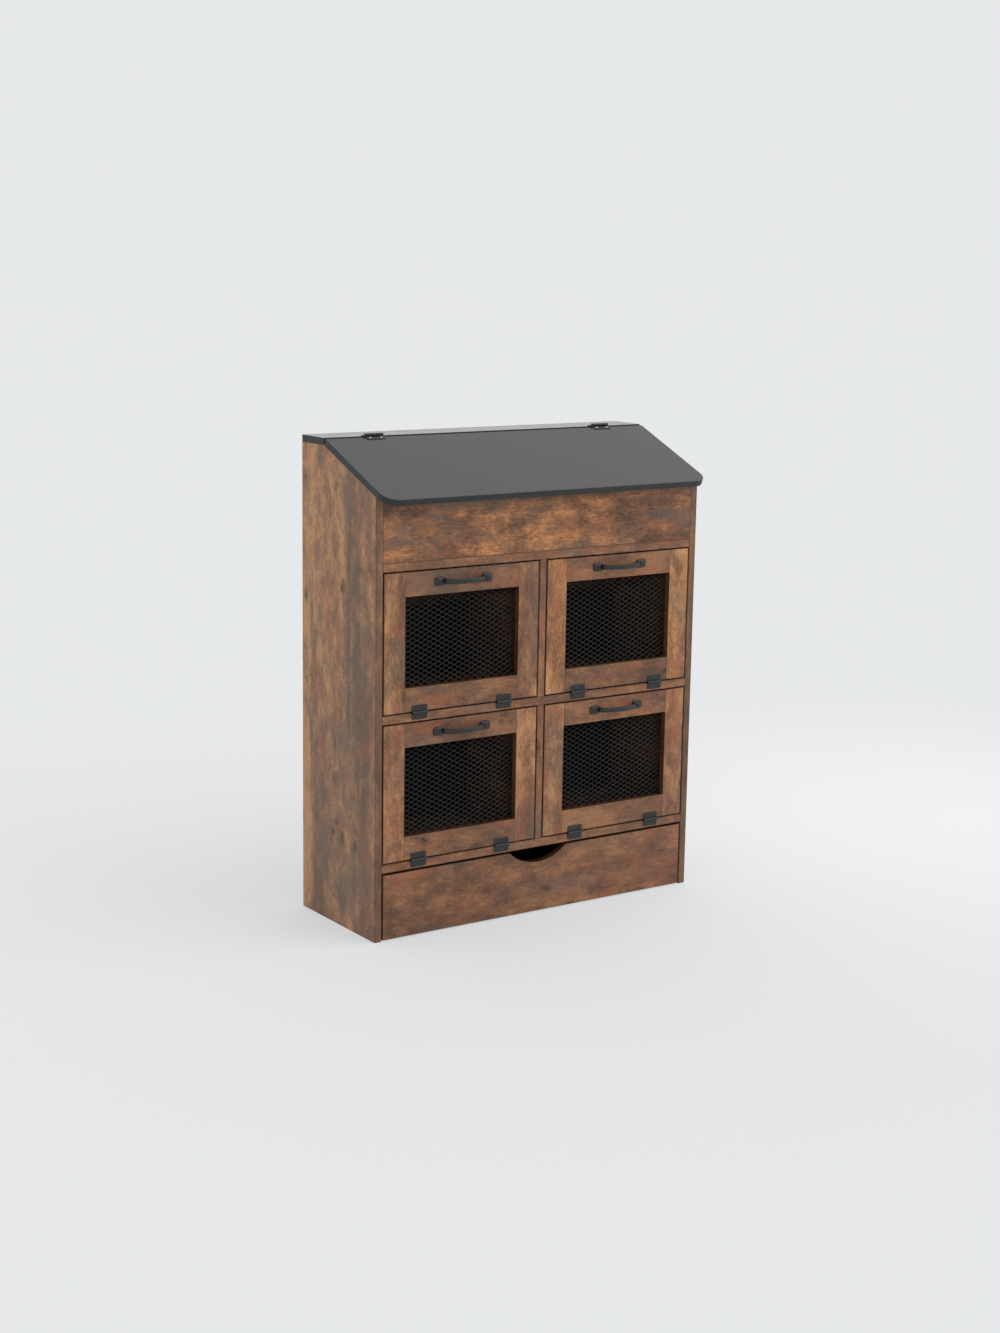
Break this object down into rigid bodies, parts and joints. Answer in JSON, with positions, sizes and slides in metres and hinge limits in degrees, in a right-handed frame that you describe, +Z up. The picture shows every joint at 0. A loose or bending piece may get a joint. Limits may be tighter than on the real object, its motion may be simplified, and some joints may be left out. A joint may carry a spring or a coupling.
{
  "type": "tilt-out vegetable bin cabinet",
  "caption": "Narrow kitchen cabinet with a sloped, hinged lid, tilt-out bins with expanded-metal windows and bow handles, and a bottom drawer.",
  "frame": {"origin": "on the floor, at the middle of the bounding box", "axes": "+Z up, +X to the right as seen from the front, +Y from the doors to the back"},
  "size_m": [0.7, 0.29, 0.8792],
  "materials": {
    "upright_board": "satin walnut-look laminate, upright grain",
    "level_board": "satin walnut-look laminate, level grain",
    "inner_board": "plain walnut-look laminate",
    "hardboard": "thin walnut-look hardboard",
    "worktop": "matt grey laminate",
    "expanded_metal": "black powder coat",
    "black_steel": "satin black lacquer",
    "zinc_steel": "zinc plate"
  },
  "bodies": {
    "cabinet": {"back_panel": "hardboard", "drawer_slide_channels": "zinc_steel", "left_side": "upright_board", "lid_hinge_pins": "zinc_steel", "lower_divider": "upright_board", "lower_shelf": "level_board", "lower_shelf_hinge_leaves": "black_steel", "lower_shelf_hinge_pins": "zinc_steel", "middle_shelf": "level_board", "middle_shelf_hinge_leaves": "black_steel", "middle_shelf_hinge_pins": "zinc_steel", "right_side": "upright_board", "strip_hinge_leaves": "black_steel", "top_strip": "worktop", "upper_divider": "upright_board", "upper_front_panel": "level_board", "upper_shelf": "level_board"},
    "lower_left_bin": {"lower_left_bin_back": "inner_board", "lower_left_bin_floor": "inner_board", "lower_left_bin_handle": "black_steel", "lower_left_bin_handle_screws": "black_steel", "lower_left_bin_hinge_leaves": "black_steel", "lower_left_bin_mesh": "expanded_metal", "lower_left_bin_rails": "level_board", "lower_left_bin_stiles": "upright_board", "lower_left_bin_walls": "inner_board"},
    "lower_right_bin": {"lower_right_bin_back": "inner_board", "lower_right_bin_floor": "inner_board", "lower_right_bin_handle": "black_steel", "lower_right_bin_handle_screws": "black_steel", "lower_right_bin_hinge_leaves": "black_steel", "lower_right_bin_mesh": "expanded_metal", "lower_right_bin_rails": "level_board", "lower_right_bin_stiles": "upright_board", "lower_right_bin_walls": "inner_board"},
    "upper_left_bin": {"upper_left_bin_back": "inner_board", "upper_left_bin_floor": "inner_board", "upper_left_bin_handle": "black_steel", "upper_left_bin_handle_screws": "black_steel", "upper_left_bin_hinge_leaves": "black_steel", "upper_left_bin_mesh": "expanded_metal", "upper_left_bin_rails": "level_board", "upper_left_bin_stiles": "upright_board", "upper_left_bin_walls": "inner_board"},
    "upper_right_bin": {"upper_right_bin_back": "inner_board", "upper_right_bin_floor": "inner_board", "upper_right_bin_handle": "black_steel", "upper_right_bin_handle_screws": "black_steel", "upper_right_bin_hinge_leaves": "black_steel", "upper_right_bin_mesh": "expanded_metal", "upper_right_bin_rails": "level_board", "upper_right_bin_stiles": "upright_board", "upper_right_bin_walls": "inner_board"},
    "lid": {"lid": "worktop", "lid_hinge_leaves": "black_steel"},
    "drawer": {"drawer_front": "level_board", "drawer_sides": "inner_board", "drawer_bottom": "hardboard", "drawer_back": "inner_board", "drawer_slide_bars": "zinc_steel"}
  },
  "joints": [
    {"name": "lid_hinge", "type": "hinge", "parent": "cabinet", "child": "lid", "pos_m": [0, 0.0651, 0.8766], "axis": [-1, 0, 0], "range_deg": [0, 120]},
    {"name": "lower_left_bin_tilt", "type": "hinge", "parent": "cabinet", "child": "lower_left_bin", "pos_m": [-0.1715, -0.1135, 0.14075], "axis": [1, 0, 0], "range_deg": [0, 40]},
    {"name": "lower_right_bin_tilt", "type": "hinge", "parent": "cabinet", "child": "lower_right_bin", "pos_m": [0.1715, -0.1135, 0.14075], "axis": [1, 0, 0], "range_deg": [0, 40]},
    {"name": "upper_left_bin_tilt", "type": "hinge", "parent": "cabinet", "child": "upper_left_bin", "pos_m": [-0.1715, -0.1135, 0.40775], "axis": [1, 0, 0], "range_deg": [0, 40]},
    {"name": "upper_right_bin_tilt", "type": "hinge", "parent": "cabinet", "child": "upper_right_bin", "pos_m": [0.1715, -0.1135, 0.40775], "axis": [1, 0, 0], "range_deg": [0, 40]},
    {"name": "drawer_slide", "type": "slide", "parent": "cabinet", "child": "drawer", "axis": [0, -1, 0], "range_m": [0, 0.17]}
  ]
}
